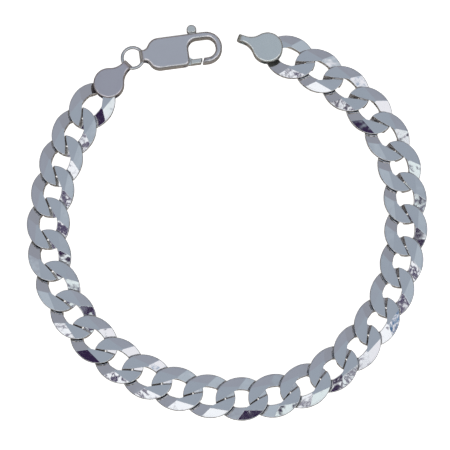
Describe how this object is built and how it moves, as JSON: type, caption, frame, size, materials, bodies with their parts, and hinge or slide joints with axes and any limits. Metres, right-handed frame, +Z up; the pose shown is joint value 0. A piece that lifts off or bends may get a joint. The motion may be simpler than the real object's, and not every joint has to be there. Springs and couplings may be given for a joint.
{
  "type": "link bracelet",
  "caption": "Flat curb-link bracelet, unfastened and lying in an open ring, with end caps, a jump ring and a lobster clasp with a sprung lever.",
  "frame": {"origin": "middle of the bounding box in plan, on the surface that the bracelet lies on", "axes": "+Z up out of the surface, across the chain's thickness; +Y from the middle of the ring toward the clasp; +X to the right with the clasp at the top"},
  "size_m": [0.0726, 0.0724, 0.0024],
  "materials": {
    "polished_silver": "diamond-cut and polished, rhodium-plated",
    "satin_silver": "smooth cast silver, satin to polished",
    "steel_pin": "plain turned pin"
  },
  "bodies": {
    "bracelet": {"link_01": "polished_silver", "link_02": "polished_silver", "link_03": "polished_silver", "link_04": "polished_silver", "link_05": "polished_silver", "link_06": "polished_silver", "link_07": "polished_silver", "link_08": "polished_silver", "link_09": "polished_silver", "link_10": "polished_silver", "link_11": "polished_silver", "link_12": "polished_silver", "link_13": "polished_silver", "link_14": "polished_silver", "link_15": "polished_silver", "link_16": "polished_silver", "link_17": "polished_silver", "link_18": "polished_silver", "link_19": "polished_silver", "link_20": "polished_silver", "link_21": "polished_silver", "link_22": "polished_silver", "link_23": "polished_silver", "link_24": "polished_silver", "link_25": "polished_silver", "link_26": "polished_silver", "link_27": "polished_silver", "link_28": "polished_silver", "link_29": "polished_silver", "left_end_cap": "satin_silver", "right_end_cap": "satin_silver", "jump_ring": "polished_silver", "clasp_body": "satin_silver", "clasp_pin": "steel_pin"},
    "lever": {"clasp_lever": "satin_silver"}
  },
  "joints": [
    {"name": "lever_pivot", "type": "hinge", "parent": "bracelet", "child": "lever", "pos_m": [-0.00843, 0.03012, 0.0012], "axis": [0, 0, 1], "range_deg": [0, 22], "stiffness_Nm_per_rad": 0.02, "springref_deg": -20.05}
  ]
}
